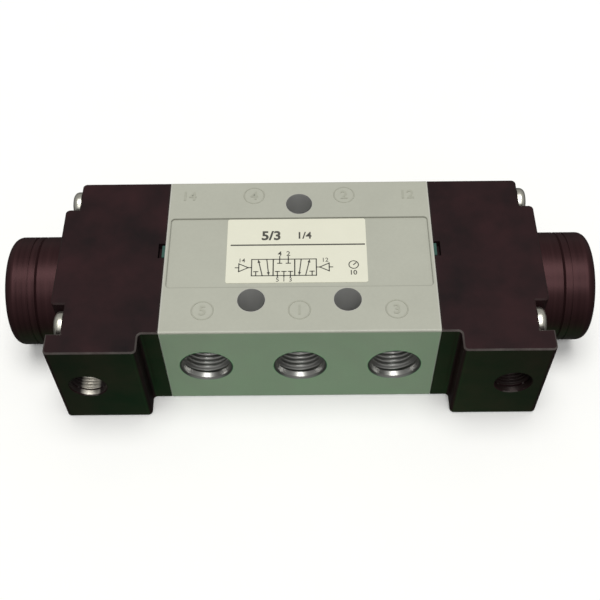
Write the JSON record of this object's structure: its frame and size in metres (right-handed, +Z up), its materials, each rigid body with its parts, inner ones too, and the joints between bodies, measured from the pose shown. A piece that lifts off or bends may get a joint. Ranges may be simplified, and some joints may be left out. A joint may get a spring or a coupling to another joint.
{
  "type": "air-piloted directional valve",
  "caption": "Inline pneumatic directional valve: ported grey body with a spring-centred spool, and black end caps with pilot ports and round spring covers.",
  "frame": {"origin": "on the flat base, straight below the middle of the spool", "axes": "+X along the spool towards pilot 12, -Y out of the face with ports 5, 1 and 3, +Z up from the base"},
  "size_m": [0.158, 0.0564, 0.0326],
  "materials": {
    "body_paint": "light grey paint on cast aluminium",
    "cap_black": "matte black anodised",
    "label_film": "printed cream film",
    "gasket_teal": "matte sheet",
    "zinc_steel": "bright zinc plated",
    "spool_steel": "ground",
    "screw_steel": "black oxide",
    "spring_steel": "drawn wire",
    "bush_bronze": "sintered",
    "piston_aluminium": "turned",
    "spacer_plastic": "moulded",
    "seal_rubber": "matte"
  },
  "bodies": {
    "housing": {"valve_body": "body_paint", "rating_label": "label_film", "bore_seal_1": "seal_rubber", "bore_seal_2": "seal_rubber", "bore_seal_3": "seal_rubber", "bore_seal_4": "seal_rubber", "bore_seal_5": "seal_rubber", "bore_seal_6": "seal_rubber", "port_spacer_1": "spacer_plastic", "port_spacer_2": "spacer_plastic", "port_spacer_3": "spacer_plastic", "port_spacer_4": "spacer_plastic", "port_spacer_5": "spacer_plastic", "end_cap_left": "cap_black", "spring_cover_left": "cap_black", "end_gasket_left": "gasket_teal", "cap_screws_left": "zinc_steel", "cover_ring_left": "seal_rubber", "guide_bush_left": "bush_bronze", "centring_spring_left": "spring_steel", "end_cap_right": "cap_black", "spring_cover_right": "cap_black", "end_gasket_right": "gasket_teal", "cap_screws_right": "zinc_steel", "cover_ring_right": "seal_rubber", "guide_bush_right": "bush_bronze", "centring_spring_right": "spring_steel"},
    "spool_assembly": {"spool": "spool_steel", "pilot_piston_left": "piston_aluminium", "piston_seal_left": "seal_rubber", "piston_screw_left": "screw_steel", "pilot_piston_right": "piston_aluminium", "piston_seal_right": "seal_rubber", "piston_screw_right": "screw_steel"}
  },
  "joints": [
    {"name": "spool_shift", "type": "slide", "parent": "housing", "child": "spool_assembly", "axis": [1, 0, 0], "range_m": [-0.004, 0.004], "stiffness_N_per_m": 3600, "deforming": ["centring_spring_left", "centring_spring_right"]}
  ]
}
